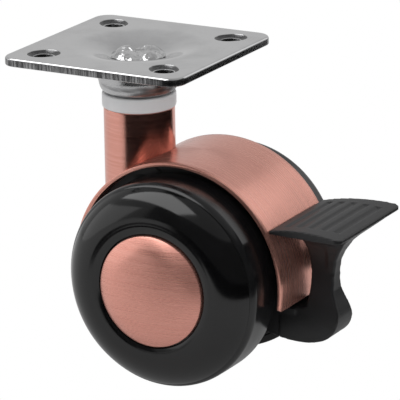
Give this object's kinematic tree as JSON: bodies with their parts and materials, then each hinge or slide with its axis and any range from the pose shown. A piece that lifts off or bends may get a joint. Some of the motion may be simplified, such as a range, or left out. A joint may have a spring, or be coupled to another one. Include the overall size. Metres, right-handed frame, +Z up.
{
  "type": "swivel plate castor",
  "caption": "Swivel castor with a screw-on plate, an offset stem, a hooded twin wheel and a foot brake lever.",
  "frame": {"origin": "on the swivel axis, in the plane of the mounting plate's top face", "axes": "+Z up along the swivel axis, out of the plate; +X to the trailing side with the brake pedal; the axle runs along Y"},
  "size_m": [0.0855, 0.0574, 0.0763],
  "materials": {
    "plate_chrome": "bright zinc plating, smooth",
    "steel": "turned steel, satin",
    "spring_steel": "dark spring steel",
    "white_nylon": "natural white nylon, soft sheen",
    "brushed_copper": "copper plating, brushed",
    "black_plastic": "moulded black plastic",
    "gloss_black": "polished black plastic",
    "tread_black": "smooth glossy polyurethane",
    "acetal": "natural acetal",
    "lever_plastic": "fine-grained dark grey plastic",
    "pad_rubber": "hard rubber"
  },
  "bodies": {
    "plate": {"mounting_plate": "plate_chrome", "kingpin": "steel", "head_spacer": "steel", "swivel_cup": "plate_chrome", "kingpin_washer": "steel", "kingpin_clip": "spring_steel"},
    "swivel": {"swivel_bush": "white_nylon", "lower_bush": "white_nylon", "stem_tube": "brushed_copper", "stem_pin": "steel", "hood": "brushed_copper", "carrier": "black_plastic", "axle": "steel", "left_spacer_washer": "steel", "right_spacer_washer": "steel", "left_axle_clip": "spring_steel", "right_axle_clip": "spring_steel", "lever_pin": "steel", "detent_spring": "spring_steel"},
    "left_wheel_set": {"left_wheel": "gloss_black", "left_tread": "tread_black", "left_wheel_bush": "acetal", "left_wheel_cap": "brushed_copper"},
    "right_wheel_set": {"right_wheel": "gloss_black", "right_tread": "tread_black", "right_wheel_bush": "acetal", "right_wheel_cap": "brushed_copper"},
    "lever": {"brake_lever": "lever_plastic", "brake_bar": "steel", "left_brake_pad": "pad_rubber", "right_brake_pad": "pad_rubber"}
  },
  "joints": [
    {"name": "swivel_turn", "type": "hinge", "parent": "plate", "child": "swivel", "pos_m": [0, 0, 0], "axis": [0, 0, 1], "continuous": true},
    {"name": "left_wheel_roll", "type": "hinge", "parent": "swivel", "child": "left_wheel_set", "pos_m": [0.0172, 0, -0.05125], "axis": [0, 1, 0], "continuous": true},
    {"name": "right_wheel_roll", "type": "hinge", "parent": "swivel", "child": "right_wheel_set", "pos_m": [0.0172, 0, -0.05125], "axis": [0, 1, 0], "continuous": true},
    {"name": "brake_press", "type": "hinge", "parent": "swivel", "child": "lever", "pos_m": [0.0302, 0, -0.06075], "axis": [0, 1, 0], "range_deg": [0, 12]}
  ]
}
